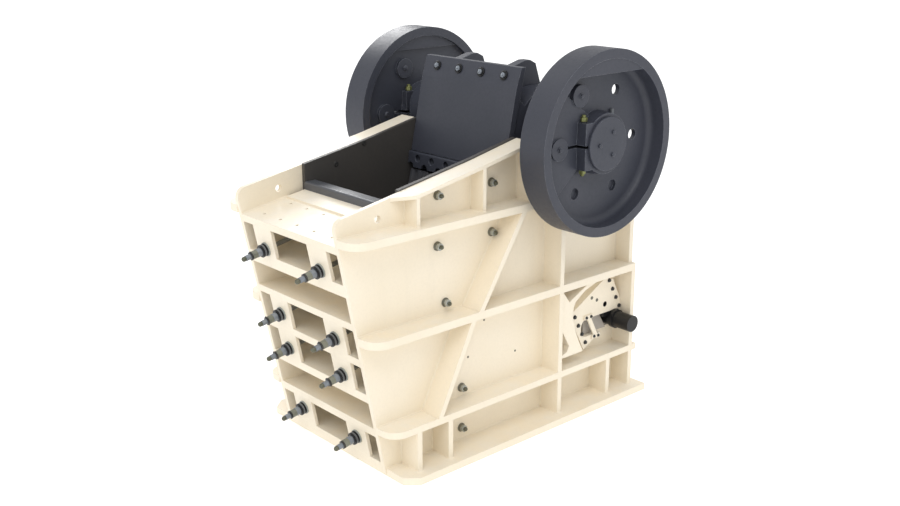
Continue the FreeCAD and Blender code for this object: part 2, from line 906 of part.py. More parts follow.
housing_in = S["side_in"] - S["housing_sink"]
foot_top = housing_low + S["housing_foot"]
housing_top = S["shaft_z"] + S["housing_top"]
housing_outline = [
    (crest_end_y, housing_low),
    (seat_rear_y, housing_low),
    (seat_rear_y, foot_top),
    (S["shaft_y"] + S["housing_r"], foot_top),
    (S["shaft_y"] + S["housing_r"], housing_top),
    (S["shaft_y"] - S["housing_r"], housing_top),
    (S["shaft_y"] - S["housing_r"], foot_top),
    (crest_end_y, foot_top),
]
HOUSING_CORNERS = (4, 5)
pair(slab("Housing", "YZ", housing_outline, housing_in, S["housing_wide"] + S["housing_sink"],
          holes=[(S["shaft_y"], S["shaft_z"], S["shaft_r"] + S["running_gap"])],
          rounds=[(i, S["housing_round"]) for i in HOUSING_CORNERS]), "bearing_housing")

# ------------------------------------------------------------------ frame: toggle end


def along_toggle(ahead, rise, y=S["toggle_y"], z=S["toggle_z"]):
    """A point in the toggle's own sloping axes, from the middle of the toggle beam or of a cover."""
    run = cosine(S["toggle_slope"])
    climb = sine(S["toggle_slope"])
    return (y + ahead * run - rise * climb, z + ahead * climb + rise * run)


def sloping_block(name, ahead, rise, start, thick):
    """A block set square to the toggle line, between (low, high) sizes on its two axes."""
    outline = [along_toggle(ahead[0], rise[0]), along_toggle(ahead[1], rise[0]),
               along_toggle(ahead[1], rise[1]), along_toggle(ahead[0], rise[1])]
    return slab(name, "YZ", outline, start, thick)


half_high = S["beam_high"] / 2
node(sloping_block("ToggleBeam", (-S["beam_ahead"], -S["beam_ahead"] + S["beam_deep"]),
                   (-half_high, half_high), -S["side_in"], S["side_in"] * 2), "toggle_beam")

tie_rear = S["rear_y"] - S["tie_rear_gap"]
node(group("RearTies", [
    box("RearTieLow", (-S["side_in"], S["side_in"]), (tie_rear - S["tie_low_deep"], tie_rear),
        (as_size(0), S["base_plate"])),
    box("RearTieHigh", (-S["side_in"], S["side_in"]), (tie_rear - S["tie_plate"], tie_rear),
        (S["tie_high_low"], S["tie_high_top"]))]), "rear_ties")

# ------------------------------------------------------------------ frame: setting gear on the sides


def on_cover(ahead, rise):
    """A point in the cover's sloping axes."""
    return along_toggle(ahead, rise, S["cover_y"], S["cover_z"])


long_half, high_half, corner = S["cover_half_long"], S["cover_half_high"], S["cover_corner"]
cover_face = side_out + S["cover_plate"]
cover = slab("SettingCover", "YZ", [
    on_cover(-long_half, -high_half), on_cover(long_half, -high_half),
    on_cover(long_half, high_half - corner), on_cover(long_half - corner, high_half),
    on_cover(-long_half, high_half)], side_out, S["cover_plate"])
cover_hole = rod("CoverHole", cover_face - S["cover_hole_deep"], S["cover_hole_y"], S["cover_hole_z"],
                 S["cover_hole_r"], S["cover_hole_deep"] + 1)
rear_rib_room = box("RearRibRoom", (side_out - 1, rib_out + 1),
                    (upright_rear, S["rear_y"]), (lower_top, S["middle_rib_z"]))
both(cut("SettingCover", cover, [window("CoverWindow", side_out, S["cover_plate"]), cover_hole,
                                 rear_rib_room]), "setting_covers")

strap = slab("Strap", "YZ", [
    (S["strap_top_y"] - S["strap_half"], S["strap_top_z"]),
    (S["strap_foot_y"] - S["strap_half"], S["strap_foot_z"]),
    (S["strap_foot_y"] + S["strap_half"], S["strap_foot_z"]),
    (S["strap_top_y"] + S["strap_half"], S["strap_top_z"])], cover_face, S["strap_plate"])
strap_ends = [box(f"StrapEnd{i}", (cover_face, cover_face + S["strap_plate"]),
                  (y - S["strap_end_half"], y + S["strap_end_half"]),
                  (z - S["strap_end_high"], z + S["strap_end_high"]))
              for i, (y, z) in enumerate([(S["strap_top_y"], S["strap_top_z"]),
                                          (S["strap_foot_y"], S["strap_foot_z"])])]
both(join("Strap", [strap] + strap_ends), "window_straps")

wedge_low = S["window_low"] + S["wedge_gap"]
wedge_high = S["window_high"] - S["wedge_gap"]
wedge_front = S["window_front"] + S["window_front_round"]
both(slab("WedgeEnd", "YZ", [
    (wedge_front, wedge_low), (S["wedge_rear_low"], wedge_low), (S["wedge_rear_high"], wedge_high),
    (wedge_front, wedge_high)], S["side_in"], S["side_plate"] + S["wedge_end_reach"]), "setting_wedge_ends")

clevis_low = wedge_high - S["clevis_high"]
clevis_front = S["wedge_rear_high"] + S["wedge_gap"]
wedge_slant = (S["wedge_rear_low"] - S["wedge_rear_high"]) / (wedge_high - wedge_low)
clevis = slab("CylinderClevis", "YZ", [
    (clevis_front + wedge_slant * S["clevis_high"], clevis_low), (S["cylinder_y"], clevis_low),
    (S["cylinder_y"], wedge_high), (clevis_front, wedge_high)],
    S["side_in"], S["side_plate"] + S["cover_plate"] - S["clevis_inset"])
cylinder = rod("Cylinder", S["side_in"], S["cylinder_y"], S["cylinder_z"], S["cylinder_r"],
               S["side_plate"] + S["cylinder_reach"])
collar = rod("CylinderCollar", cover_face, S["cylinder_y"], S["cylinder_z"], S["collar_r"],
             S["collar_wide"])
pair(cut("Cylinder", join("CylinderBody", [cylinder, collar, clevis]), [rear_rib_room]), "setting_cylinder")

# Side view of the curved web between the main upright and the cover: (back from the upright,
# down from the middle rib).
WEB_OUTLINE = [
    (0, 0), (20, 0), (112, 127), (317, 26), (373, 0), (540, 0), (420, 32), (326, 62), (250, 108),
    (197, 145), (172, 195), (165, 281), (195, 408), (255, 545), (303, 631), (315, 657), (0, 657),
    (0, 637), (98, 608), (123, 555), (22, 381), (0, 350),
]
web_front = S["upright_main"] + S["upright"]
both(slab("CurvedWeb", "YZ", [(web_front + back, S["middle_rib_z"] - down) for back, down in WEB_OUTLINE],
          side_out, S["curved_web_reach"]), "curved_webs")

# ------------------------------------------------------------------ toggle plate

half_toggle = S["toggle_plate"] / 2
toggle_half = S["side_in"] - S["toggle_side_gap"]
toggle_low = -S["beam_ahead"] - S["toggle_long"]
node(sloping_block("TogglePlate", (toggle_low, -S["beam_ahead"]), (-half_toggle, half_toggle),
                   -toggle_half, toggle_half * 2), "toggle_plate")

# ------------------------------------------------------------------ shaft and flywheels

housing_face = S["side_in"] + S["housing_wide"]
wheel_in = housing_face + S["wheel_gap"]
wheel_out = wheel_in + S["wheel_wide"]
hub_out = wheel_in + S["hub_face"]
shaft_tip = hub_out
shaft_step = housing_face + S["shaft_shoulder"]
shaft_profile = [
    (-shaft_tip, as_size(0)), (-shaft_tip, S["shaft_end_r"]), (-shaft_step, S["shaft_end_r"]),
    (-shaft_step, S["shaft_r"]), (shaft_step, S["shaft_r"]), (shaft_step, S["shaft_end_r"]),
    (shaft_tip, S["shaft_end_r"]), (shaft_tip, as_size(0)),
]
node(spin("Shaft", shaft_profile, 0, S["shaft_y"], S["shaft_z"]), "eccentric_shaft")

web_out = wheel_in + S["web_face"]
web_in = web_out - S["web_plate"]
rim_in = S["wheel_r"] - S["wheel_rim"]
wheel_bore = S["shaft_end_r"] + S["running_gap"]


ROOT_STEP = 15


def root_points(face, root, way):
    """The hollow corner between the web and the rim, from the web out to the rim."""
    turns = [math.radians(ROOT_STEP * i) for i in range(90 // ROOT_STEP + 1)]
    return [(face + root * (1 - math.cos(turn)) * way, rim_in - root * (1 - math.sin(turn)))
            for turn in turns]


inner_root = (web_in - wheel_in) * S["inner_root_share"]
wheel_profile = [
    (wheel_in, wheel_bore), (hub_out, wheel_bore), (hub_out, S["hub_r"]),
    (web_out, S["hub_r"] + S["web_taper"]), *root_points(web_out, S["rim_root"], 1),
    (wheel_out, rim_in), (wheel_out, S["wheel_r"]), (wheel_in, S["wheel_r"]), (wheel_in, rim_in),
    *reversed(root_points(web_in, inner_root, -1)), (web_in, S["hub_r"] + S["web_taper"]),
    (wheel_in, S["hub_r"]),
]
wheel = spin("Flywheel", wheel_profile, 0, S["shaft_y"], S["shaft_z"])


def on_wheel(radius, degrees):
    """A point on the wheel's face, with its angle up from straight back."""
    turn = math.radians(degrees)
    return (S["shaft_y"] + radius * math.cos(turn), S["shaft_z"] + radius * math.sin(turn))


HOLE_ANGLES = (0, 60)
RECESS_ANGLES = (240, 300)
WEIGHT_ANGLES = (120, 180)
SECTOR_OUTER = (135, 157.5, 180, 199.5, 219)
SECTOR_INNER = (112, 146, 180, 199.5, 219)
weights = [rod(f"Weight{i}", wheel_in + S["weight_back"], *on_wheel(S["wheel_ring"], turn),
               S["weight_r"], S["weight_face"] - S["weight_back"])
           for i, turn in enumerate(WEIGHT_ANGLES)]
wheel_holes = [rod(f"WheelHole{i}", wheel_in, *on_wheel(S["wheel_ring"], turn), S["wheel_hole_r"],
                   S["wheel_wide"]) for i, turn in enumerate(HOLE_ANGLES)]
recesses = [rod(f"WheelRecess{i}", web_in + S["recess_floor"], *on_wheel(S["wheel_ring"], turn),
                S["wheel_hole_r"], S["wheel_wide"]) for i, turn in enumerate(RECESS_ANGLES)]
fill_in = wheel_in + S["fill_back"]
fill_out = wheel_in + S["fill_face"]
fill_round = rod("FillRound", fill_in, S["shaft_y"], S["shaft_z"], rim_in + S["wheel_rim"] / 2,
                 fill_out - fill_in)
fill_block = box("FillBlock", (fill_in, fill_out),
                 (S["shaft_y"] - S["wheel_r"], S["shaft_y"] + S["wheel_r"]),
                 (S["shaft_z"] + S["fill_low"], S["shaft_z"] + S["wheel_r"]))
fill = doc.addObject("Part::Common", "Fill")
fill.Base = fill_round
fill.Tool = fill_block
sector = slab("Sector", "YZ", [on_wheel(S["sector_high_r"], turn) for turn in SECTOR_OUTER]
              + [on_wheel(S["sector_low_r"], turn) for turn in reversed(SECTOR_INNER)],
              web_in, wheel_in + S["sector_face"] - web_in)
hub_block = box("HubBlock", (wheel_in, hub_out),
                (S["shaft_y"] - S["hub_block_reach"], S["shaft_y"] - S["hub_block_inner"]),
                (S["shaft_z"] - S["hub_block_half"], S["shaft_z"] + S["hub_block_half"]))
split_front = S["shaft_y"] - S["hub_split_end"]
hub_slot = box("HubSlot", (wheel_in - 1, hub_out + 1), (split_front, S["shaft_y"]),
               (S["shaft_z"] - S["hub_split"] / 2, S["shaft_z"] + S["hub_split"] / 2))
wheel_body = join("WheelBody", [wheel, fill, sector, hub_block] + weights)
pair(cut("Flywheel", wheel_body, wheel_holes + recesses + [hub_slot]), "flywheel")

cap_out = hub_out + S["cap_wide"]
cap_profile = [
    (hub_out, as_size(0)), (hub_out, S["cap_r"]), (cap_out - S["cap_edge"], S["cap_r"]),
    (cap_out, S["cap_r"] - S["cap_edge"]), (cap_out, as_size(0)),
]
both(spin("ShaftCap", cap_profile, 0, S["shaft_y"], S["shaft_z"]), "shaft_caps")

# ------------------------------------------------------------------ swing jaw

jaw_half = chamber_half - S["jaw_side_gap"]
guard_half = chamber_half - S["guard_side_gap"]
pitman_front_low = swing_seat_at(S["swing_die_low"])
pitman_front_top = swing_seat_at(S["swing_die_top"])
pocket_end = toggle_low - S["toggle_gap"]
pocket_lip = pocket_end + S["pocket_deep"]
pocket_half = half_toggle + S["toggle_gap"]
pitman_outline = [
    (swing_seat_at(S["jaw_bottom"]), S["jaw_bottom"]),
    along_toggle(pocket_lip, -S["pocket_low"]),
    along_toggle(pocket_lip, -pocket_half),
    along_toggle(pocket_end, -pocket_half),
    along_toggle(pocket_end, pocket_half),
    along_toggle(pocket_lip, pocket_half),
    along_toggle(pocket_lip, S["pocket_high"]),
    (S["shaft_y"] - S["neck_back"], S["shaft_z"] - S["neck_drop"]),
    (S["shaft_y"] + S["head_back"], S["shaft_z"] - S["head_drop"]),
    (S["shaft_y"], S["shaft_z"]),
    (S["guard_y"] - S["guard_inset"], S["guard_top"] - S["head_front_drop"]),
    (pitman_front_top, S["swing_die_top"] + S["guard_shelf"]),
    (pitman_front_top, S["swing_die_top"]),
]
pitman_web = slab("PitmanWeb", "YZ", pitman_outline, -jaw_half, jaw_half * 2)
barrel = rod("PitmanBarrel", -jaw_half, S["shaft_y"], S["shaft_z"], S["head_r"], jaw_half * 2)
pitman_bore = rod("PitmanBore", -jaw_half - 1, S["shaft_y"], S["shaft_z"],
                  S["shaft_r"] + S["running_gap"], jaw_half * 2 + 2)


def guard_front(z):
    """Y of the guard plate's front face, as a straight line."""
    return S["guard_y"] - S["guard_lean"] * (S["guard_top"] - z)


guard_low_y = guard_front(S["guard_low"])
guard_bend_y = guard_front(S["guard_bend_z"]) - S["guard_bend"]
guard_outline = [
    (guard_low_y, S["guard_low"]),
    (guard_low_y + S["guard_plate"], S["guard_low"]),
    (S["guard_y"] + S["guard_plate"], S["guard_top"]),
    (S["guard_y"], S["guard_top"]),
    (guard_bend_y, S["guard_bend_z"]),
]
guard_foot = S["guard_low"] - S["clamp_gap"]
room_front = guard_low_y - S["guard_room"]
clear_of_guard = across("GuardSpace", [
    (room_front, guard_foot),
    (guard_low_y + S["guard_plate"], guard_foot),
    (guard_low_y + S["guard_plate"], S["guard_low"]),
    (S["guard_y"] + S["guard_plate"], S["guard_top"]),
    (room_front, S["guard_top"]),
], guard_half + 1)
pitman = join("PitmanBody", [pitman_web, barrel])
node(cut("Pitman", pitman, [pitman_bore, clear_of_guard]), "pitman")

lug_outline = [
    (guard_front(S["lug_foot_z"]), S["lug_foot_z"]),
    (S["shaft_y"], S["shaft_z"]),
    (S["lug_heel_y"], S["lug_foot_z"]),
    (S["lug_heel_y"], S["lug_heel_z"]),
    (S["lug_rear_y"], S["lug_rear_z"]),
    (S["lug_peak_y"] + S["lug_flat"], S["lug_peak_z"]),
    (S["lug_peak_y"], S["lug_peak_z"]),
    (S["lug_front_y"], S["lug_front_z"]),
    (S["guard_y"], S["lug_front_z"]),
]
lugs = []
for i, side_sign in enumerate((1, -1)):
    lug = slab(f"HeadLug{i}", "YZ", lug_outline, S["lug_x"] * side_sign - S["lug_wide"] / 2, S["lug_wide"])
    lugs.append(cut(f"HeadLug{i}", lug, [barrel, pitman_web, clear_of_guard]))
node(group("HeadLugs", lugs), "pitman_head_lugs")

node(across("Guard", guard_outline, guard_half), "jaw_guard_plate")
clamp_front_low = guard_low_y - S["clamp_proud"]
clamp_front_top = guard_low_y - S["clamp_lip"]
clamp = across("ClampBar", [
    (clamp_front_low, S["clamp_low"]),
    (pitman_front_top, S["clamp_low"]),
    (pitman_front_top, guard_foot),
    (clamp_front_top, guard_foot),
], die_half, rounds=[(3, S["clamp_round"])])
CLAMP_HOLES = (-2.5, -1.5, -0.5, 0.5, 1.5, 2.5)
CLAMP_SCALLOPS = (-3, -2, -1, 0, 1, 2, 3)
into_clamp = Size(-90, "-90 deg")
clamp_step = die_half * 2 / (len(CLAMP_HOLES) + S["clamp_end_share"])
clamp_tools = [drill(f"ClampHole{i}", clamp_step * count, clamp_front_low - 1, S["clamp_hole_z"],
                     S["clamp_hole_r"], S["clamp_hole_deep"] + 1, into_clamp)
               for i, count in enumerate(CLAMP_HOLES)]
clamp_tools += [drill(f"ClampScallop{i}", clamp_step * count, clamp_front_low - 1, S["clamp_low"],
                      S["clamp_scallop"], S["clamp_scallop_deep"] + 1, into_clamp)
                for i, count in enumerate(CLAMP_SCALLOPS)]
node(cut("ClampBar", clamp, clamp_tools), "jaw_clamp_bar")
node(seated_die("SwingDie", -1, -S["swing_lean"], pitman_front_low, S["swing_die_low"],
                S["swing_die_top"]), "swing_jaw_die")

# ------------------------------------------------------------------ check and write

doc.recompute()
for item in doc.Objects:
    if "Invalid" in item.State or "Error" in item.State:
        raise RuntimeError(f"{item.Name} failed: {item.State}")
for item in NODES:
    if item.Shape.isNull() or not item.Shape.isValid() or not item.Shape.Solids:
        raise RuntimeError(f"{item.Label} has no sound shape")

os.makedirs("parts", exist_ok=True)
for item in NODES:
    item.Shape.exportStep(f"parts/{item.Label}.step")
    print(item.Label, len(item.Shape.Solids), round(item.Shape.Volume / 1e9, 4))
box_all = NODES[0].Shape.BoundBox
for item in NODES[1:]:
    box_all.add(item.Shape.BoundBox)
print("nodes", len(NODES), "box", box_all)
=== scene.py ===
import json
import math
import random

import bmesh
import bpy
from mathutils import Matrix, Vector
from mathutils.bvhtree import BVHTree


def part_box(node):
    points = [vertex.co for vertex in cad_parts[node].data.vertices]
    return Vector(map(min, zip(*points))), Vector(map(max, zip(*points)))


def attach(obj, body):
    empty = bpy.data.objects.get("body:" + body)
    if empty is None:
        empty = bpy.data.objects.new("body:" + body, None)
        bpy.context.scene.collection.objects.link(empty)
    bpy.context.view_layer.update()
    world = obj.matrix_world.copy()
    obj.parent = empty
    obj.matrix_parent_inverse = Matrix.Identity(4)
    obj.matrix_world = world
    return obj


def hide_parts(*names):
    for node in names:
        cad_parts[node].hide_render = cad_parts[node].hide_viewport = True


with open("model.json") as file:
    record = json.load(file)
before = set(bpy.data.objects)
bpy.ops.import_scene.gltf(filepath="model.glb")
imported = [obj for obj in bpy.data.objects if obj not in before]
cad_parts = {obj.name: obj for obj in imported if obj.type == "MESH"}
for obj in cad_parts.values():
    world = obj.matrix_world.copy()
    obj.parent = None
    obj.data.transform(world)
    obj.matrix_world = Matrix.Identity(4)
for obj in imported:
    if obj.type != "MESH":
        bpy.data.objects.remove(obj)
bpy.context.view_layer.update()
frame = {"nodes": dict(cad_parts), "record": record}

NODES = frame["nodes"]
random.seed(7)

# Metres, in the shared frame: X along the shaft, -Y the leaning front, +Z up.
# "right" is the +X side and "left" the -X side.

# ------------------------------------------------------------------ camera
CAMERA_PLACE = Vector((7.3853, -6.4038, 4.5596))
CAMERA_YAW = math.radians(48.364)
CAMERA_PITCH = math.radians(17.163)
CAMERA_ROLL = math.radians(-0.19)
CAMERA_LENS_MM = 45.0
CAMERA_FAR = 600.0


def make_camera():
    data = bpy.data.cameras.new("view")
    data.lens = CAMERA_LENS_MM
    data.sensor_width = 36.0
    data.clip_end = CAMERA_FAR
    camera = bpy.data.objects.new("view", data)
    bpy.context.scene.collection.objects.link(camera)
    turn = Matrix.Rotation(CAMERA_YAW, 4, "Z") @ Matrix.Rotation(math.pi / 2 - CAMERA_PITCH, 4, "X")
    camera.matrix_world = Matrix.Translation(CAMERA_PLACE) @ turn @ Matrix.Rotation(CAMERA_ROLL, 4, "Z")
    bpy.context.scene.camera = camera


# ------------------------------------------------------------------ materials


class Nodes:
    """A material's node tree, with short ways to add and join nodes."""

    COLOUR_A, COLOUR_B, COLOUR_OUT = 6, 7, 2    # the colour sockets of a Mix node

    def __init__(self, name):
        self.material = bpy.data.materials.new(name)
        self.material.use_nodes = True
        self.tree = self.material.node_tree
        self.shader = self.tree.nodes["Principled BSDF"]
        self.place = self.add("ShaderNodeTexCoord").outputs["Object"]

    def add(self, kind, **values):
        item = self.tree.nodes.new(kind)
        for key, value in values.items():
            setattr(item, key, value)
        return item

    def join(self, out, into):
        self.tree.links.new(out, into)

    def noise(self, scale, detail=3.0, rough=0.55, stretch=None):
        """Cloud noise in the mesh's own frame, drawn out where stretch is below 1."""
        item = self.add("ShaderNodeTexNoise")
        item.inputs["Scale"].default_value = scale
        item.inputs["Detail"].default_value = detail
        item.inputs["Roughness"].default_value = rough
        place = self.place
        if stretch:
            mapping = self.add("ShaderNodeMapping")
            mapping.inputs["Scale"].default_value = stretch
            self.join(place, mapping.inputs["Vector"])
            place = mapping.outputs["Vector"]
        self.join(place, item.inputs["Vector"])
        return item.outputs["Fac"]

    def span(self, value, low, high, to_low=0.0, to_high=1.0):
        """The value between low and high, mapped to to_low and to_high and held there."""
        item = self.add("ShaderNodeMapRange", clamp=True)
        for key, number in (("From Min", low), ("From Max", high), ("To Min", to_low), ("To Max", to_high)):
            item.inputs[key].default_value = number
        self.join(value, item.inputs["Value"])
        return item.outputs["Result"]

    def product(self, a, b):
        item = self.add("ShaderNodeMath", operation="MULTIPLY")
        for i, value in enumerate((a, b)):
            if isinstance(value, (int, float)):
                item.inputs[i].default_value = value
            else:
                self.join(value, item.inputs[i])
        return item.outputs[0]

    def mix(self, factor, a, b):
        item = self.add("ShaderNodeMix", data_type="RGBA")
        self.join(factor, item.inputs["Factor"])
        for index, value in ((self.COLOUR_A, a), (self.COLOUR_B, b)):
            if isinstance(value, tuple):
                item.inputs[index].default_value = (*value, 1.0)
            else:
                self.join(value, item.inputs[index])
        return item.outputs[self.COLOUR_OUT]

    def edges(self, radius):
        """1 on the outer edges and 0 on the flats, with the rounded normal."""
        bevel = self.add("ShaderNodeBevel", samples=4)
        bevel.inputs["Radius"].default_value = radius
        flat = self.add("ShaderNodeNewGeometry").outputs["Normal"]
        dot = self.add("ShaderNodeVectorMath", operation="DOT_PRODUCT")
        self.join(bevel.outputs[0], dot.inputs[0])
        self.join(flat, dot.inputs[1])
        return self.span(dot.outputs["Value"], 0.98, 0.82), bevel.outputs[0]

    def bump(self, heights, base=None):
        """Bumps laid one over another: (height, strength, depth in metres)."""
        for height, strength, depth in heights:
            item = self.add("ShaderNodeBump")
            item.inputs["Strength"].default_value = strength
            item.inputs["Distance"].default_value = depth
            self.join(height, item.inputs["Height"])
            if base is not None:
                self.join(base, item.inputs["Normal"])
            base = item.outputs["Normal"]
        self.join(base, self.shader.inputs["Normal"])


CLOUD_SCALE, FINE_SCALE, GRIME_SCALE, DUST_SCALE, WEAR_AND_SHEEN_SCALE = 1.7, 38.0, 7.0, 5.0, 22.0
RUN_DOWN = (1.0, 1.0, 0.12)    # stretches grime into runs down a plate


def finish_material(name, colour, tint, edge, rough, grain, edge_radius=0.003, wear_and_sheen=0.5, metal=0.0,
                    dust=None, streaks=0.0, specular=0.5, tint_share=1.0):
    """A finish with cloudy colour, edges lightened by wear and by a painted highlight, uneven gloss and a
    fine grain.

    The colour drifts to tint in clouds and to edge along the corners, partly as wear and partly as a painted
    edge highlight. grain lists (noise scale, strength, depth in metres); dust is a colour that settles on
    upward faces."""
    n = Nodes(name)
    cloud = n.span(n.noise(CLOUD_SCALE, 4.0), 0.35, 0.7, 0.0, tint_share)
    fine = n.noise(FINE_SCALE, 4.0, 0.6)
    base = n.mix(cloud, colour, tint)
    darker = tuple(c * 0.9 for c in colour)
    base = n.mix(n.span(fine, 0.45, 0.75, 0.0, 0.35), base, darker)
    if streaks:
        run = n.noise(GRIME_SCALE, 3.0, 0.6, stretch=RUN_DOWN)
        grime = tuple(c * 0.72 for c in tint)
        base = n.mix(n.span(run, 0.56, 0.8, 0.0, streaks), base, grime)
    if dust:
        split = n.add("ShaderNodeSeparateXYZ")
        n.join(n.add("ShaderNodeNewGeometry").outputs["Normal"], split.inputs[0])
        upward = n.span(split.outputs["Z"], 0.6, 1.0, 0.0, 0.5)
        base = n.mix(n.product(upward, n.span(n.noise(DUST_SCALE), 0.35, 0.7)), base, dust)
    # The corners are lightened toward edge: partly wear, partly a painted edge highlight.
    edge_mask, rounded = n.edges(edge_radius)
    worn_and_lit_edge = n.product(edge_mask, n.span(n.noise(WEAR_AND_SHEEN_SCALE, 4.0), 0.4, 0.62, wear_and_sheen * 0.35, wear_and_sheen))
    base = n.mix(worn_and_lit_edge, base, edge)
    n.join(base, n.shader.inputs["Base Color"])
    n.join(n.span(fine, 0.25, 0.8, rough - 0.07, rough + 0.1), n.shader.inputs["Roughness"])
    n.shader.inputs["Metallic"].default_value = metal
    n.shader.inputs["Specular IOR Level"].default_value = specular
    n.bump([(n.noise(scale, 3.0), strength, depth) for scale, strength, depth in grain], rounded)
    return n.material


SLATE_GRAIN = [(26.0, 0.10, 0.002), (190.0, 0.16, 0.0008)]
WASHER_GRAIN = [(80.0, 0.15, 0.0006), (400.0, 0.15, 0.0002)]

# The cream's lighter edge colour is partly wear and partly a painted edge highlight.
CREAM = finish_material("cream_paint_coat", (0.88, 0.795, 0.645), (0.85, 0.76, 0.60), (0.95, 0.91, 0.82),
                        0.40, [(7.0, 0.08, 0.004), (240.0, 0.12, 0.0006)], edge_radius=0.004, wear_and_sheen=0.55,
                        dust=(0.82, 0.79, 0.72), streaks=0.10)
WELD = finish_material("painted_weld", (0.86, 0.775, 0.625), (0.82, 0.73, 0.575), (0.93, 0.89, 0.79),
                       0.42, [(60.0, 0.20, 0.0015), (260.0, 0.15, 0.0006)], edge_radius=0.002, wear_and_sheen=0.3,
                       tint_share=0.8)
# The wedge ends' warm grey is partly their own steel and partly painted shade for the shade inside the
# setting window.
SHADED_WEDGE_GREY = finish_material("shaded_wedge_grey", (0.40, 0.365, 0.32), (0.33, 0.30, 0.26), (0.62, 0.58, 0.52),
                             0.46, [(40.0, 0.12, 0.001), (240.0, 0.14, 0.0005)])
# The slate's pale blue-grey edge colour, over a wide 8 mm band, is partly wear and partly a painted highlight
# along the flywheel rims.
SLATE = finish_material("slate_paint_coat", (0.041, 0.045, 0.060), (0.050, 0.053, 0.069),
                        (0.26, 0.28, 0.33), 0.44, SLATE_GRAIN, edge_radius=0.008, wear_and_sheen=0.7, specular=0.36)
PAD_GREY = finish_material("worn_pad_grey", (0.11, 0.12, 0.135), (0.15, 0.155, 0.165), (0.34, 0.35, 0.37),
                           0.44, SLATE_GRAIN, edge_radius=0.002, wear_and_sheen=0.6, specular=0.36)
# The top bar's slate is painted lighter than SLATE as a broad painted highlight along the bar; its lower
# roughness is its own gloss, and its edges are partly wear, partly painted highlight.
HIGHLIT_BAR_SLATE = finish_material("highlit_bar_slate", (0.072, 0.077, 0.088), (0.095, 0.098, 0.108),
                            (0.30, 0.31, 0.34), 0.36, SLATE_GRAIN, edge_radius=0.008, wear_and_sheen=0.7)
CHEEK = finish_material("dark_liner_plate", (0.054, 0.051, 0.048), (0.064, 0.058, 0.052),
                        (0.13, 0.125, 0.12), 0.50, [(12.0, 0.12, 0.003), (150.0, 0.22, 0.0008)],
                        streaks=0.3)
DIE = finish_material("manganese_casting_skin", (0.050, 0.053, 0.064), (0.070, 0.062, 0.055),
                      (0.24, 0.24, 0.25), 0.48, [(34.0, 0.30, 0.003), (160.0, 0.25, 0.0012)],
                      edge_radius=0.005, wear_and_sheen=0.6)
BLACK = finish_material("black_paint_coat", (0.009, 0.009, 0.010), (0.014, 0.014, 0.014),
                        (0.08, 0.08, 0.08), 0.36, [(60.0, 0.10, 0.001), (260.0, 0.15, 0.0004)],
                        edge_radius=0.002, wear_and_sheen=0.4, specular=0.35)
STEEL = finish_material("machined_steel_skin", (0.33, 0.35, 0.36), (0.26, 0.27, 0.25), (0.55, 0.56, 0.56),
                        0.34, [(90.0, 0.10, 0.0005), (420.0, 0.12, 0.0002)],
                        edge_radius=0.0015, wear_and_sheen=0.6, metal=0.7)
DARK_STEEL = finish_material("dark_washer_steel", (0.045, 0.047, 0.048), (0.07, 0.066, 0.06),
                             (0.26, 0.26, 0.25), 0.42, WASHER_GRAIN,
                             edge_radius=0.0015, wear_and_sheen=0.6, metal=0.55)
WASHER_OLIVE = finish_material("olive_washer_steel", (0.15, 0.148, 0.12), (0.20, 0.195, 0.155),
                               (0.42, 0.41, 0.36), 0.40, WASHER_GRAIN,
                               edge_radius=0.0015, wear_and_sheen=0.6, metal=0.4)
NUT_STEEL = finish_material("nut_steel", (0.42, 0.44, 0.42), (0.34, 0.36, 0.33), (0.62, 0.63, 0.60),
                            0.32, [(110.0, 0.12, 0.0005), (430.0, 0.12, 0.0002)],
                            edge_radius=0.0015, wear_and_sheen=0.6, metal=0.6)
SPACER_STEEL = finish_material("spacer_steel", (0.15, 0.16, 0.17), (0.11, 0.115, 0.12), (0.40, 0.41, 0.42),
                               0.40, [(80.0, 0.12, 0.0005), (360.0, 0.12, 0.0002)],
                               edge_radius=0.0015, metal=0.3)
SLEEVE_STEEL = finish_material("sleeve_steel", (0.27, 0.30, 0.34), (0.22, 0.245, 0.28), (0.6, 0.62, 0.64),
                               0.36, [(70.0, 0.08, 0.0005), (300.0, 0.10, 0.0002)],
                               edge_radius=0.0015, metal=0.35)
OLIVE_BODY = finish_material("olive_sleeve_steel", (0.21, 0.22, 0.185), (0.26, 0.265, 0.215),
                             (0.50, 0.50, 0.45), 0.36, [(70.0, 0.12, 0.0005), (300.0, 0.12, 0.0002)],
                             edge_radius=0.0015, metal=0.35)
OLIVE_STEEL = finish_material("olive_stud_steel", (0.10, 0.105, 0.075), (0.14, 0.14, 0.10),
                              (0.38, 0.38, 0.33), 0.38, [(120.0, 0.18, 0.0005), (380.0, 0.15, 0.0002)],
                              edge_radius=0.0015, wear_and_sheen=0.6, metal=0.5)
GREY_GREEN = finish_material("grey_green_washer", (0.30, 0.32, 0.30), (0.25, 0.27, 0.24),
                             (0.66, 0.68, 0.64), 0.42, [(90.0, 0.12, 0.0005), (380.0, 0.12, 0.0002)],
                             edge_radius=0.0015)
ZINC_YELLOW = finish_material("yellow_zinc", (0.22, 0.235, 0.085), (0.17, 0.18, 0.07), (0.5, 0.5, 0.30),
                              0.34, [(130.0, 0.12, 0.0004), (420.0, 0.12, 0.0002)],
                              edge_radius=0.0015, metal=0.5)

SLOT_FINISH = {"cream_paint": CREAM, "slate_paint": SLATE, "dark_liner": CHEEK, "manganese_casting": DIE,
               "machined_steel": STEEL, "black_paint": BLACK}
for row in frame["record"]["subparts"]:
    mesh = NODES[row["node"]].data
    mesh.materials.clear()
    mesh.materials.append(SLOT_FINISH[row["material_slot"]])
# The top bar takes the lighter slate, a painted highlight.
NODES["fixed_jaw_top_bar"].data.materials[0] = HIGHLIT_BAR_SLATE
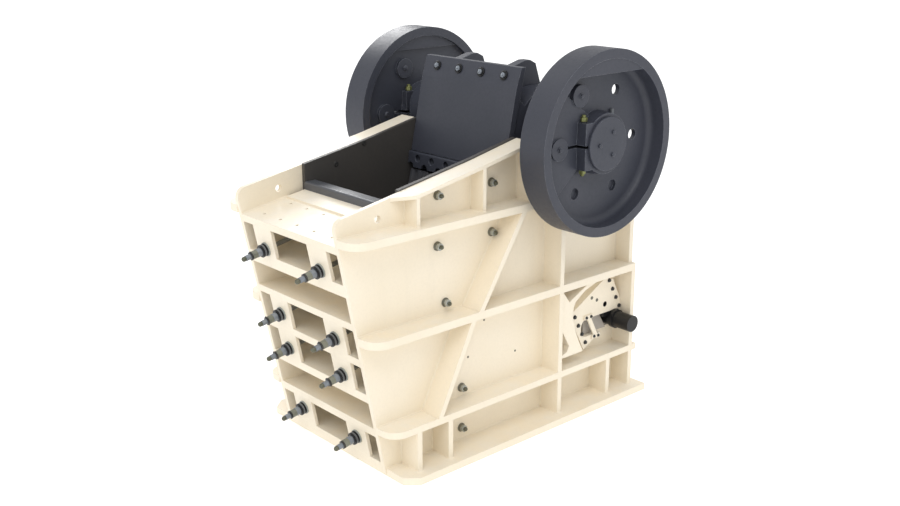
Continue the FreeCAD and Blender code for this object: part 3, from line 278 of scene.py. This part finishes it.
# The wedge ends take the grey that is partly painted shade.
NODES["setting_wedge_ends"].data.materials[0] = SHADED_WEDGE_GREY

# ------------------------------------------------------------------ ways of making a piece


def piece(name, bm, material, body, sharp=34):
    """A piece that rides on a body; edges under sharp degrees are shaded smooth."""
    bmesh.ops.recalc_face_normals(bm, faces=bm.faces)
    limit = math.radians(sharp)
    for face in bm.faces:
        face.smooth = True
    for edge in bm.edges:
        edge.smooth = len(edge.link_faces) == 2 and edge.calc_face_angle(0) < limit
    mesh = bpy.data.meshes.new(name)
    bm.to_mesh(mesh)
    bm.free()
    mesh.materials.append(material)
    obj = bpy.data.objects.new(name, mesh)
    bpy.context.scene.collection.objects.link(obj)
    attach(obj, body)
    return obj


def axis_frame(place, direction, turn=0.0):
    """A frame whose Z runs along direction, turned about it."""
    return (Matrix.Translation(Vector(place)) @ Vector(direction).to_track_quat("Z", "Y").to_matrix().to_4x4()
            @ Matrix.Rotation(turn, 4, "Z"))


def raised(matrix, height):
    """The frame moved along its own Z."""
    return matrix @ Matrix.Translation((0, 0, height))


def circle(bm, matrix, radius, height, sides):
    """A ring of points about the frame's Z."""
    return [bm.verts.new(matrix @ Vector((radius * math.cos(2 * math.pi * i / sides),
                                          radius * math.sin(2 * math.pi * i / sides), height)))
            for i in range(sides)]


def turned(bm, matrix, profile, sides=32):
    """A turned solid from (height, radius) points; a radius of 0 closes an end."""
    rings = []
    for height, radius in profile:
        if radius <= 0:
            rings.append([bm.verts.new(matrix @ Vector((0, 0, height)))])
        else:
            rings.append(circle(bm, matrix, radius, height, sides))
    for low, high in zip(rings, rings[1:]):
        for i in range(sides):
            j = (i + 1) % sides
            corners = [low[i % len(low)], low[j % len(low)], high[j % len(high)], high[i % len(high)]]
            kept = [v for k, v in enumerate(corners) if v not in corners[:k]]
            if len(kept) > 2:
                bm.faces.new(kept)


CROWN_SHARE, CROWN_SLOPE = 0.96, math.tan(math.radians(30))


def hex_body(bm, matrix, across, height, bore=0.0, sides=48):
    """A hexagon nut or head with its corners turned off on both ends."""
    flat = across / 2
    crown = flat * CROWN_SHARE
    rings = [[], [], [], []]
    for i in range(sides):
        angle = 2 * math.pi * i / sides
        corner = (angle + math.pi / 6) % (math.pi / 3) - math.pi / 6
        radius = flat / math.cos(corner)
        drop = (radius - crown) * CROWN_SLOPE
        across_x, across_y = math.cos(angle), math.sin(angle)
        for ring, (reach, z) in zip(rings, ((crown, 0), (radius, drop), (radius, height - drop),
                                            (crown, height))):
            ring.append(bm.verts.new(matrix @ Vector((reach * across_x, reach * across_y, z))))
    for low, high in zip(rings, rings[1:]):
        for i in range(sides):
            j = (i + 1) % sides
            bm.faces.new((low[i], low[j], high[j], high[i]))
    bm.faces.new(rings[0][::-1])
    if not bore:
        bm.faces.new(rings[3])
        return
    rim = circle(bm, matrix, bore, height, sides)
    for i in range(sides):
        j = (i + 1) % sides
        bm.faces.new((rings[3][i], rings[3][j], rim[j], rim[i]))
    bm.faces.new(rim)


def washer(bm, matrix, radius, thick, inner):
    """A flat ring with turned edges."""
    edge = min(thick * 0.2, 0.001)
    turned(bm, matrix, [(thick, inner), (thick, radius - edge), (thick - edge, radius), (edge, radius),
                        (0, radius - edge), (0, inner)])


def seated_head(rings, heads, matrix, radius, thick, inner, across, height, bore=0.0):
    """A washer with a hexagon nut or head on it."""
    washer(rings, matrix, radius, thick, inner)
    hex_body(heads, raised(matrix, thick), across, height, bore)


def threaded(bm, matrix, low, high, radius, pitch, sides=24):
    """A stud end with thread rings and a turned tip."""
    profile = [(low, 0), (low, radius * 0.93)]
    z = low
    while z + pitch < high - radius * 0.25:
        profile += [(z + pitch * 0.5, radius), (z + pitch, radius * 0.93)]
        z += pitch
    profile += [(high - radius * 0.15, radius * 0.85), (high, radius * 0.6), (high, 0)]
    turned(bm, matrix, profile, sides)


SIDES = (("right", 1.0), ("left", -1.0))
SIDE_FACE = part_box("side_plate_right")[1].x

# ------------------------------------------------------------------ bolts through the side plates

SIDE_BOLTS = [(-0.611, 2.322), (-0.007, 2.332), (-0.615, 1.892), (-0.002, 1.897), (-0.530, 1.384),
              (-0.349, 0.556), (-0.349, 0.174)]
SIDE_CONE = [(0.012, 0.019), (0.012, 0.029), (0.001, 0.036), (0, 0.036)]


def side_bolts(side, sign):
    rings, nuts, studs = bmesh.new(), bmesh.new(), bmesh.new()
    for i, (y, z) in enumerate(SIDE_BOLTS):
        m = axis_frame((sign * SIDE_FACE, y, z), (sign, 0, 0), 0.35 * i)
        washer(rings, m, radius=0.040, thick=0.008, inner=0.019)
        turned(rings, raised(m, 0.008), SIDE_CONE)
        hex_body(nuts, raised(m, 0.020), across=0.056, height=0.030, bore=0.019)
        threaded(studs, m, low=0.018, high=0.072, radius=0.018, pitch=0.004)
    piece("side_bolt_washers_" + side, rings, WASHER_OLIVE, "frame")
    piece("side_bolt_nuts_" + side, nuts, NUT_STEEL, "frame")
    piece("side_bolt_studs_" + side, studs, OLIVE_STEEL, "frame")


for side, sign in SIDES:
    side_bolts(side, sign)

# ------------------------------------------------------------------ small plugs in the side plates

SIDE_PLUGS = [(-0.078, 1.110), (-0.267, 0.815), (0.309, 0.718), (-0.452, 1.104)]
SIDE_PLUG = [(-0.001, 0), (-0.001, 0.011), (0.0015, 0.010), (0.0015, 0.006), (0.0003, 0.0055), (0.0003, 0)]


def side_plugs(side, sign):
    plugs = bmesh.new()
    for y, z in SIDE_PLUGS:
        m = axis_frame((sign * SIDE_FACE, y, z), (sign, 0, 0))
        turned(plugs, m, SIDE_PLUG, 28)
    piece("side_plate_plugs_" + side, plugs, WASHER_OLIVE, "frame")


for side, sign in SIDES:
    side_plugs(side, sign)

# ------------------------------------------------------------------ heads on the cheek plates

CHEEK_BOLTS = [(-0.637, 2.361), (-0.319, 2.507)]
CHEEK_HEAD = [(-0.002, 0), (-0.002, 0.026), (0.004, 0.024), (0.0065, 0.018), (0.0065, 0.011),
              (0.003, 0.010), (0.003, 0)]


def cheek_heads(side, sign):
    heads = bmesh.new()
    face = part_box("upper_cheek_plate_right")[0].x
    for y, z in CHEEK_BOLTS:
        m = axis_frame((sign * face, y, z), (-sign, 0, 0))
        turned(heads, m, CHEEK_HEAD, 36)
    piece("cheek_bolt_heads_" + side, heads, DARK_STEEL, "frame")


for side, sign in SIDES:
    cheek_heads(side, sign)

# ------------------------------------------------------------------ tension bolts

# The front plates' face runs through Y = FRONT_Y - FRONT_LEAN * Z.
FRONT_Y, FRONT_LEAN = -1.191, 0.2
TENSION_X, TENSION_Z = 0.390, (1.810, 1.205, 0.870, 0.266)
OUTWARD = Vector((0, -1, -FRONT_LEAN)).normalized()
# Heights in the stack are measured out from that face.
DISC_FEET = (0.0120, 0.0200, 0.0450, 0.0525)
BOLT_TIP = [(0.208, 0.0), (0.208, 0.017), (0.212, 0.017), (0.213, 0.0215), (0.2165, 0.0205),
            (0.2185, 0.0215), (0.222, 0.0205), (0.224, 0.0215), (0.2275, 0.0205), (0.2295, 0.0215),
            (0.233, 0.0205), (0.2385, 0.018), (0.2445, 0.011), (0.2465, 0.004), (0.2465, 0.0)]


def disc(bm, matrix, foot, thick, radius, bore=0.022):
    """One spring disc, with chamfered edges."""
    turned(bm, matrix, [(foot, bore), (foot, radius - 0.004), (foot + 0.003, radius),
                        (foot + thick - 0.003, radius), (foot + thick, radius - 0.004),
                        (foot + thick, bore)], 48)


def sleeve(bm, matrix, foot, top, radius):
    """A plain sleeve with turned ends."""
    turned(bm, matrix, [(foot, 0.0), (foot, radius - 0.0015), (foot + 0.0015, radius),
                        (top - 0.0015, radius), (top, radius - 0.0015), (top, 0.0)], 40)


def tension_bolts():
    """Each bolt's stack: washer, discs about a spacer, sleeve, body, collar, sleeve and tip."""
    washers, discs, spacers, sleeves, bodies, collars, tips = (bmesh.new() for _ in range(7))
    for i, z in enumerate(TENSION_Z):
        for sign in (1, -1):
            m = axis_frame((sign * TENSION_X, FRONT_Y - FRONT_LEAN * z, z), OUTWARD, 0.4 * i + sign)
            washer(washers, m, radius=0.062, thick=0.012, inner=0.024)
            for foot in DISC_FEET:
                disc(discs, m, foot, thick=0.0072, radius=0.0555)
            disc(spacers, m, 0.0280, thick=0.0165, radius=0.0545)
            sleeve(sleeves, m, 0.0600, 0.100, radius=0.037)
            sleeve(bodies, m, 0.100, 0.148, radius=0.035)
            hex_body(collars, raised(m, 0.148), across=0.071, height=0.015, bore=0.02)
            sleeve(sleeves, m, 0.163, 0.208, radius=0.024)
            turned(tips, m, BOLT_TIP, 36)
    made = [piece("tension_bolt_washers", washers, GREY_GREEN, "frame"),
            piece("tension_bolt_discs", discs, BLACK, "frame", 25),
            piece("tension_bolt_spacers", spacers, SPACER_STEEL, "frame"),
            piece("tension_bolt_sleeves", sleeves, SLEEVE_STEEL, "frame"),
            piece("tension_bolt_bodies", bodies, OLIVE_BODY, "frame"),
            piece("tension_bolt_collars", collars, DARK_STEEL, "frame"),
            piece("tension_bolt_tips", tips, OLIVE_STEEL, "frame")]
    for obj in made:
        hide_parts("tension_bolts")


tension_bolts()

# ------------------------------------------------------------------ bolts on the setting covers

COVER_CENTRE = (1.317, 0.874)
COVER_SLOPE = math.atan(0.543)
COVER_ROWS = (-0.27, 0.27)
COVER_RISES = (0.163, 0.053, -0.057, -0.167)
COVER_BOLT_SIZE, STRAP_BOLT_SIZE = 1.0, 0.72
COVER_HOLE, COVER_HOLE_R, COVER_HOLE_DEEP = (1.429, 0.917), 0.0262, 0.059
COVER_PLUGS = [(0.0, 0.171), (0.047, 0.103)]
COVER_PLUG = [(0.0, 0), (0.0, 0.017), (0.003, 0.0155), (0.003, 0.010), (0.0008, 0.009), (0.0008, 0)]
# A black cup inside the cover's hole is painted shade: it darkens the hole's inside.
SHADE_CUP_WALL, SHADE_CUP_FLOOR, SHADE_CUP_BELOW = 0.004, 0.004, 0.001
STRAP_BOLTS = [(1.153, 0.848), (1.217, 0.848), (1.270, 0.635), (1.328, 0.630)]


def on_cover(ahead, rise):
    """(Y, Z) of a point given along and across the cover plate's slope."""
    run, climb = math.cos(COVER_SLOPE), math.sin(COVER_SLOPE)
    return (COVER_CENTRE[0] + ahead * run - rise * climb, COVER_CENTRE[1] + ahead * climb + rise * run)


def cover_bolts(side, sign):
    heads, rings, shade_cup, plugs = (bmesh.new() for _ in range(4))
    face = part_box("setting_covers")[1].x
    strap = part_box("window_straps")[1].x
    places = [on_cover(a, r) + (face, COVER_BOLT_SIZE) for a in COVER_ROWS for r in COVER_RISES]
    places += [(y, z, strap, STRAP_BOLT_SIZE) for y, z in STRAP_BOLTS]
    for i, (y, z, x, size) in enumerate(places):
        m = axis_frame((sign * x, y, z), (sign, 0, 0), 0.5 * i)
        seated_head(rings, heads, m, radius=0.0205 * size, thick=0.003, inner=0.010 * size,
                    across=0.030 * size, height=0.0125 * size)
    # The black cup in the hole is painted shade for the hole's dim inside.
    bottom = axis_frame((sign * (face - COVER_HOLE_DEEP), *COVER_HOLE), (sign, 0, 0))
    rim, bore = COVER_HOLE_DEEP - SHADE_CUP_BELOW, COVER_HOLE_R - SHADE_CUP_WALL
    turned(shade_cup, bottom, [(0.0, 0), (0.0, COVER_HOLE_R), (rim, COVER_HOLE_R), (rim, bore),
                           (SHADE_CUP_FLOOR, bore), (SHADE_CUP_FLOOR, 0)], 40)
    for ahead, rise in COVER_PLUGS:
        m = axis_frame((sign * face, *on_cover(ahead, rise)), (sign, 0, 0))
        turned(plugs, m, COVER_PLUG, 32)
    piece("cover_hole_shade_cup_" + side, shade_cup, BLACK, "frame")
    piece("cover_plugs_" + side, plugs, WASHER_OLIVE, "frame")
    piece("cover_bolt_heads_" + side, heads, DARK_STEEL, "frame")
    piece("cover_bolt_washers_" + side, rings, DARK_STEEL, "frame")


for side, sign in SIDES:
    cover_bolts(side, sign)

# ------------------------------------------------------------------ bolts on the swing jaw

GUARD_TOP_Y, GUARD_TOP_Z, GUARD_BEND_Z = 0.435, 3.240, 3.060
GUARD_LEAN, GUARD_BEND_SET = 0.235, 0.018
GUARD_BEND_Y = GUARD_TOP_Y - GUARD_LEAN * (GUARD_TOP_Z - GUARD_BEND_Z) - GUARD_BEND_SET
GUARD_BOLTS = (-0.435, -0.145, 0.145, 0.435)
GUARD_BOLT_Z = 3.158
GUARD_CUP = [(0.0, 0), (0.0, 0.041), (0.004, 0.043), (0.011, 0.042), (0.013, 0.039), (0.009, 0.030),
             (0.009, 0)]
CLAMP_BOLTS, CLAMP_STEP = 6, 0.19496
CLAMP_FLOOR_Y, CLAMP_Z = 0.2505, 2.310


def jaw_bolts():
    rings, nuts, clamp = bmesh.new(), bmesh.new(), bmesh.new()
    slope = (GUARD_TOP_Y - GUARD_BEND_Y) / (GUARD_TOP_Z - GUARD_BEND_Z)
    y = GUARD_BEND_Y + slope * (GUARD_BOLT_Z - GUARD_BEND_Z)
    out = Vector((0, -1, slope)).normalized()
    for i, x in enumerate(GUARD_BOLTS):
        m = axis_frame((x, y, GUARD_BOLT_Z), out, 0.3 + 0.7 * i)
        turned(rings, m, GUARD_CUP, 40)
        hex_body(nuts, raised(m, 0.009), across=0.042, height=0.017, bore=0.012)
        threaded(nuts, m, low=0.020, high=0.038, radius=0.0115, pitch=0.003)
    for i in range(CLAMP_BOLTS):
        x = CLAMP_STEP * (i - (CLAMP_BOLTS - 1) / 2)
        m = axis_frame((x, CLAMP_FLOOR_Y, CLAMP_Z), (0, -1, 0), 0.4 * i)
        seated_head(clamp, clamp, m, radius=0.030, thick=0.005, inner=0.014, across=0.040, height=0.020)
    piece("guard_bolt_washers", rings, BLACK, "swing_jaw")
    piece("guard_bolt_nuts", nuts, SLEEVE_STEEL, "swing_jaw")
    piece("clamp_bar_bolts", clamp, BLACK, "swing_jaw")


jaw_bolts()

# ------------------------------------------------------------------ bolts on the flywheels

SHAFT_Y, SHAFT_Z = 0.794, 2.634
WHEEL_RING = 0.485
WEIGHT_TURNS = (120, 180)
WEIGHT_FACE, WEIGHT_BACK = 1.200, 1.080
CAP_FACE, HUB_FACE, WEB_FACE = 1.307, 1.280, 1.155
CAP_RING, CAP_TURNS = 0.112, (60, 180, -60)
HUB_PLUG_RING, HUB_PLUG_TURN = 0.25, -56
CLAMP_BOLT_Y = -0.205
CLAMP_BOLTS_X = (1.080, 1.200)
CLAMP_SEAT_Z = 0.200
HUB_PLUG = [(0.0, 0), (0.0, 0.013), (0.004, 0.012), (0.004, 0.006), (0.001, 0.005), (0.001, 0)]
PAD_SIZE, PAD_Y, PAD_Z, PAD_ROUND = (0.024, 0.036, 0.078), 0.187, 0.224, 0.003


def on_wheel(radius, turn):
    """(Y, Z) of a point on a circle about the shaft."""
    angle = math.radians(turn)
    return SHAFT_Y + radius * math.cos(angle), SHAFT_Z + radius * math.sin(angle)


def wheel_bolts(side, sign):
    heads, seats, nuts, pad = (bmesh.new() for _ in range(4))
    for turn in WEIGHT_TURNS:
        y, z = on_wheel(WHEEL_RING, turn)
        outer = axis_frame((sign * WEIGHT_FACE, y, z), (sign, 0, 0), 0.3)
        inner = axis_frame((sign * WEIGHT_BACK, y, z), (-sign, 0, 0), 0.1)
        for m, height in ((outer, 0.015), (inner, 0.014)):
            seated_head(heads, heads, m, radius=0.026, thick=0.004, inner=0.012, across=0.036, height=height)
    for turn in CAP_TURNS:
        y, z = on_wheel(CAP_RING, turn)
        m = axis_frame((sign * CAP_FACE, y, z), (sign, 0, 0), 0.2)
        hex_body(heads, m, across=0.034, height=0.0132)
    y, z = on_wheel(HUB_PLUG_RING, HUB_PLUG_TURN)
    turned(heads, axis_frame((sign * HUB_FACE, y, z), (sign, 0, 0)), HUB_PLUG, 24)
    for x in CLAMP_BOLTS_X:
        for up in (1, -1):
            m = axis_frame((sign * x, SHAFT_Y + CLAMP_BOLT_Y, SHAFT_Z + up * CLAMP_SEAT_Z), (0, 0, up), 0.2)
            seated_head(seats, nuts, m, radius=0.030, thick=0.005, inner=0.014, across=0.054,
                        height=0.036, bore=0.0185)
            threaded(nuts, m, low=0.036, high=0.062, radius=0.018, pitch=0.0035)
    middle = Matrix.Translation((sign * (WEB_FACE + PAD_SIZE[0] / 2), SHAFT_Y + PAD_Y, SHAFT_Z + PAD_Z))
    bmesh.ops.create_cube(pad, size=1.0, matrix=middle @ Matrix.Diagonal((*PAD_SIZE, 1.0)))
    bmesh.ops.bevel(pad, geom=list(pad.edges), offset=PAD_ROUND, segments=2, affect="EDGES")
    piece("flywheel_pads_" + side, pad, PAD_GREY, "shaft")
    piece("flywheel_bolt_heads_" + side, heads, SLATE, "shaft")
    piece("flywheel_clamp_washers_" + side, seats, DARK_STEEL, "shaft")
    piece("flywheel_clamp_nuts_" + side, nuts, ZINC_YELLOW, "shaft")


for side, sign in SIDES:
    wheel_bolts(side, sign)

# ------------------------------------------------------------------ weld beads

WELD_LEG = 0.008
WELD_STEP = 0.014
WELD_SHORTEST = 0.03
WELD_OFF = ("setting_covers", "window_straps", "setting_wedge_ends")
WELD_TOUCH = 0.0008  # metres: how near the other plate's face counts as standing on it
WELD_LEVEL = 0.98    # cosine: how nearly that face looks along the plate's own way up
WELD_CORNER = 0.5    # radians: the least turn at a plate's corner
WELD_SLANT = 0.5     # cosine: the most that a plate may lean over the face it stands on
BEAD_SECTION = ((-0.15, -0.15), (1.0, -0.15), (0.95, 0.30), (0.62, 0.62), (0.30, 0.95), (-0.15, 1.0))


def sharp_edges(bm):
    """Edges between two faces that meet at an outer corner."""
    for edge in bm.edges:
        if len(edge.link_faces) == 2 and edge.is_convex and edge.calc_face_angle(0) > WELD_CORNER:
            yield edge


def weld_beads():
    """A fillet of weld wherever a plate's corner stands on another plate's face."""
    names = [row["node"] for row in frame["record"]["subparts"]
             if row["material_slot"] == "cream_paint" and row["node"] not in WELD_OFF]
    solids = {}
    everything = bmesh.new()
    for name in names:
        bm = bmesh.new()
        bm.from_mesh(NODES[name].data)
        bm.transform(NODES[name].matrix_world)
        bmesh.ops.remove_doubles(bm, verts=bm.verts, dist=0.00002)
        solids[name] = bm
        everything.from_mesh(NODES[name].data)
    tree = BVHTree.FromBMesh(everything)
    beads = bmesh.new()
    for name, bm in solids.items():
        for edge in sharp_edges(bm):
            start, end = (v.co.copy() for v in edge.verts)
            length = (end - start).length
            if length < WELD_SHORTEST:
                continue
            along = (end - start) / length
            first, second = (face.normal for face in edge.link_faces)
            lay_bead(beads, tree, start, along, length, -first, second)
            lay_bead(beads, tree, start, along, length, -second, first)
        bm.free()
    everything.free()
    piece("weld_beads", beads, WELD, "frame", 60)


def lay_bead(beads, tree, start, along, length, up, out):
    """Beads on the stretches of an edge that stand on a face looking along up."""
    if abs(up.dot(out)) > WELD_SLANT:
        return
    count = max(1, round(length / WELD_STEP))
    run = []
    for k in range(count + 1):
        spot = start + along * (length * (k + 0.5) / count)
        if k < count and stands_on(tree, spot, up, out):
            run.append(k)
            continue
        if len(run) > 2:
            make_bead(beads, start + along * (length * run[0] / count), along,
                      length * len(run) / count, len(run), up, out)
        run = []


def stands_on(tree, spot, up, out):
    """True where the other plate goes on past the corner with room above it."""
    beyond = spot + out * WELD_LEG * 1.2
    if beyond.z < WELD_LEG * 1.5:
        return False
    hit, normal, _, _ = tree.find_nearest(beyond, WELD_TOUCH)
    if hit is None or normal.dot(up) < WELD_LEVEL:
        return False
    above = beyond + up * WELD_LEG * 1.6 + out * WELD_LEG * 0.6
    return tree.find_nearest(above, WELD_LEG * 1.2)[0] is None


def make_bead(beads, start, along, length, count, up, out):
    """One bead: a fillet section swept along the edge, rippled and thin at its ends."""
    last = None
    for k in range(count + 1):
        swell = 1.0 + 0.13 * math.sin(k * 2.4) + random.uniform(-0.07, 0.07)
        if k in (0, count):
            swell *= 0.55
        leg = WELD_LEG * swell
        centre = start + along * (length * k / count)
        ring = [beads.verts.new(centre + out * a * leg + up * b * leg) for a, b in BEAD_SECTION]
        if last:
            for i in range(len(ring)):
                j = (i + 1) % len(ring)
                beads.faces.new((last[i], last[j], ring[j], ring[i]))
        else:
            beads.faces.new(ring)
        last = ring
    beads.faces.new(last[::-1])


weld_beads()

# ------------------------------------------------------------------ floor, light and camera

FLOOR_SIZE, FLOOR_GLOW = 900, 0.30
WORLD_STRENGTH = 0.87
SUN_STRENGTH, SUN_SOFTNESS, SUN_TOWARD = 0.85, math.radians(35), Vector((-0.42, 0.42, -0.82))
PANEL_WATTS, PANEL_SIZE = 95, 2.0
PANEL_PLACE, PANEL_AIM = Vector((-4.3, 1.7, 4.9)), Vector((0, -1.4, 2.07))


def stage():
    n = Nodes("studio_floor")
    shade = n.span(n.noise(0.6, 2.0), 0.3, 0.7, 0.0, 1.0)
    n.join(n.mix(shade, (0.90, 0.90, 0.90), (0.93, 0.93, 0.93)), n.shader.inputs["Base Color"])
    n.shader.inputs["Roughness"].default_value = 0.9
    n.shader.inputs["Specular IOR Level"].default_value = 0.0
    n.shader.inputs["Emission Color"].default_value = (1, 1, 1, 1)
    n.shader.inputs["Emission Strength"].default_value = FLOOR_GLOW
    bpy.ops.mesh.primitive_plane_add(size=FLOOR_SIZE, location=(0, 0, -0.001))
    floor = bpy.context.object
    floor.name = "studio_floor"
    floor.data.materials.append(n.material)

    world = bpy.data.worlds.new("studio")
    world.use_nodes = True
    background = world.node_tree.nodes["Background"]
    background.inputs["Color"].default_value = (1.0, 1.0, 1.0, 1.0)
    background.inputs["Strength"].default_value = WORLD_STRENGTH
    bpy.context.scene.world = world

    sun = bpy.data.lights.new("key", "SUN")
    sun.energy = SUN_STRENGTH
    sun.angle = SUN_SOFTNESS
    lamp = bpy.data.objects.new("key", sun)
    lamp.rotation_euler = SUN_TOWARD.to_track_quat("-Z", "Y").to_euler()
    bpy.context.scene.collection.objects.link(lamp)

    panel = bpy.data.lights.new("back_panel", "AREA")
    panel.shape = "SQUARE"
    panel.size = PANEL_SIZE
    panel.energy = PANEL_WATTS
    lamp = bpy.data.objects.new("back_panel", panel)
    facing = (PANEL_AIM - PANEL_PLACE).to_track_quat("-Z", "Y").to_matrix().to_4x4()
    lamp.matrix_world = Matrix.Translation(PANEL_PLACE) @ facing
    bpy.context.scene.collection.objects.link(lamp)
    bpy.context.scene.view_settings.view_transform = "Standard"


stage()
make_camera()
